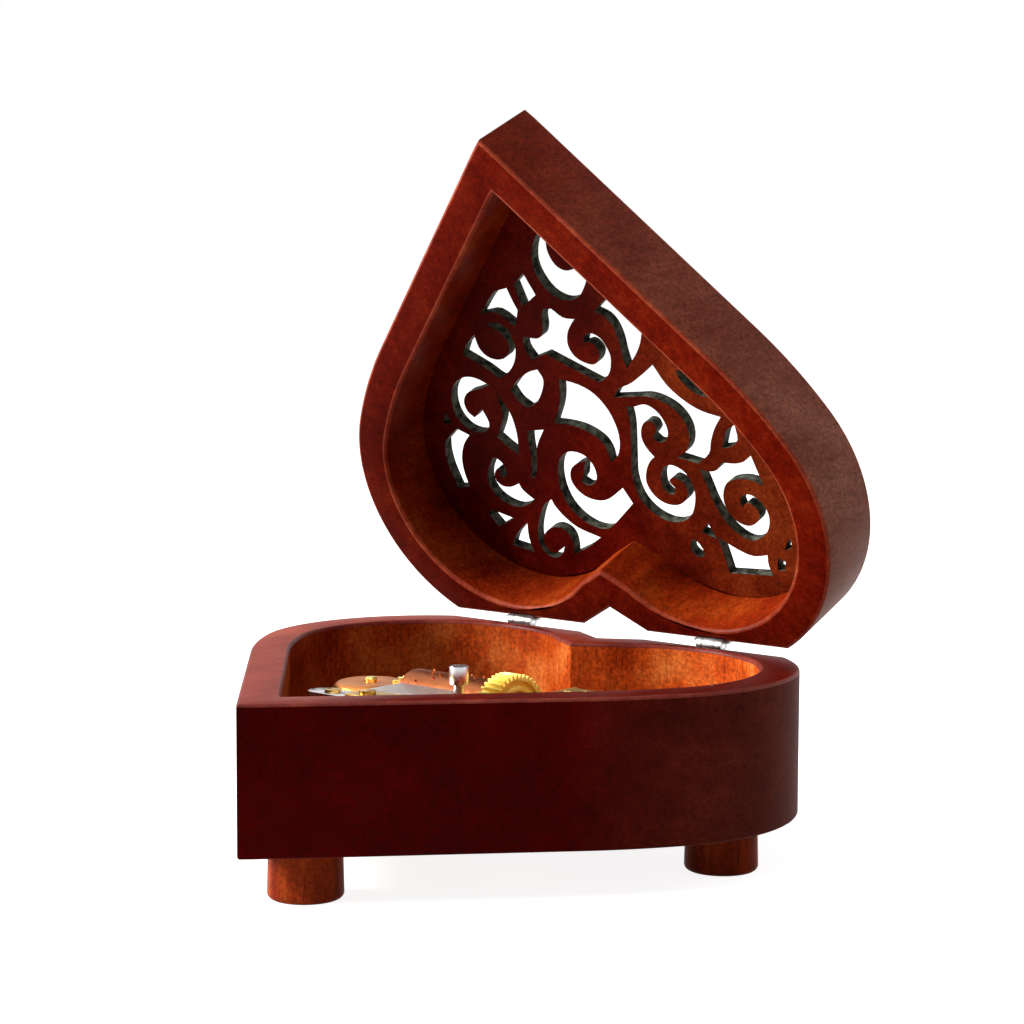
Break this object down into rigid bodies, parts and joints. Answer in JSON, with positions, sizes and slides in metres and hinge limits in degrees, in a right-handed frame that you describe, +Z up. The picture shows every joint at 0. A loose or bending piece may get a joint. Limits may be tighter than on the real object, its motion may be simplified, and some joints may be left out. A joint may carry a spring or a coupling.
{
  "type": "wind-up music box",
  "caption": "Heart-shaped wooden wind-up music box with a hinged scrollwork lid, an open movement and an under-side winding key.",
  "frame": {"origin": "on the floor under the feet, midway between the centres of the two lobes of the heart", "axes": "+Z up, the tip of the heart points along -Y, X runs across the lobes along the hinge line"},
  "size_m": [0.11, 0.1153, 0.1349],
  "materials": {
    "case_wood": "red-brown stained wood with satin lacquer",
    "lid_wood": "red-brown stained wood with satin lacquer",
    "board_wood": "stained plywood, satin",
    "foot_wood": "turned wood, satin lacquer",
    "fret_wood": "laser-cut stained wood, dark scorched edges",
    "nickel": "bright nickel plate",
    "steel": "ground steel",
    "spring_steel": "blued spring steel",
    "bed_metal": "cast zinc with a gold wash",
    "gold_plate": "polished gold-coloured plate",
    "screw_brass": "yellow zinc plate",
    "yellow_plastic": "moulded yellow plastic"
  },
  "bodies": {
    "case": {"base_case": "case_wood", "bottom_board": "board_wood", "front_foot": "foot_wood", "left_rear_foot": "foot_wood", "right_rear_foot": "foot_wood", "foot_screws": "screw_brass", "left_base_leaf": "nickel", "right_base_leaf": "nickel", "left_hinge_pin": "nickel", "right_hinge_pin": "nickel", "base_leaf_screws": "nickel", "bed_plate": "bed_metal", "movement_screws": "screw_brass", "comb": "steel", "comb_screws": "screw_brass", "ratchet_click": "steel", "housing_strap": "nickel", "strap_screw": "screw_brass", "governor_frame": "nickel", "governor_screws": "screw_brass", "stop_pillar": "nickel"},
    "lid": {"lid_frame": "lid_wood", "fret_panel": "fret_wood", "left_lid_leaf": "nickel", "right_lid_leaf": "nickel", "lid_leaf_screws": "nickel"},
    "drum_set": {"drum": "nickel", "drum_gear": "yellow_plastic", "drum_pinion": "gold_plate", "drum_axle": "steel"},
    "spring_barrel": {"spring_housing": "gold_plate", "crown_wheel": "gold_plate", "mainspring": "spring_steel"},
    "winding_set": {"winding_arbor": "steel", "ratchet_wheel": "steel", "winding_key": "screw_brass"},
    "governor_set": {"governor_pinion": "steel", "governor_wheel": "yellow_plastic", "governor_arbor": "steel"},
    "fly_set": {"worm_shaft": "steel", "air_fly": "nickel"}
  },
  "joints": [
    {"name": "lid_hinge", "type": "hinge", "parent": "case", "child": "lid", "pos_m": [0, 0.02766, 0.0359], "axis": [-1, 0, 0], "range_deg": [-66, 112]},
    {"name": "drum_spin", "type": "hinge", "parent": "case", "child": "drum_set", "pos_m": [0, -0.0158, 0.0264], "axis": [1, 0, 0], "continuous": true},
    {"name": "barrel_turn", "type": "hinge", "parent": "case", "child": "spring_barrel", "pos_m": [-0.02345, -0.0158, 0.02], "axis": [0, 0, 1], "continuous": true},
    {"name": "key_turn", "type": "hinge", "parent": "case", "child": "winding_set", "pos_m": [-0.02345, -0.0158, 0.02], "axis": [0, 0, 1], "continuous": true},
    {"name": "governor_spin", "type": "hinge", "parent": "case", "child": "governor_set", "pos_m": [0, -0.00683, 0.02465], "axis": [1, 0, 0], "continuous": true},
    {"name": "fly_spin", "type": "hinge", "parent": "case", "child": "fly_set", "pos_m": [0.0169, -0.00287, 0.02], "axis": [0, 0, 1], "continuous": true}
  ],
  "couplings": [
    {"joint": "barrel_turn", "follows": "drum_spin", "ratio": 0.5},
    {"joint": "governor_spin", "follows": "drum_spin", "ratio": -5.5},
    {"joint": "fly_spin", "follows": "drum_spin", "ratio": 88}
  ]
}
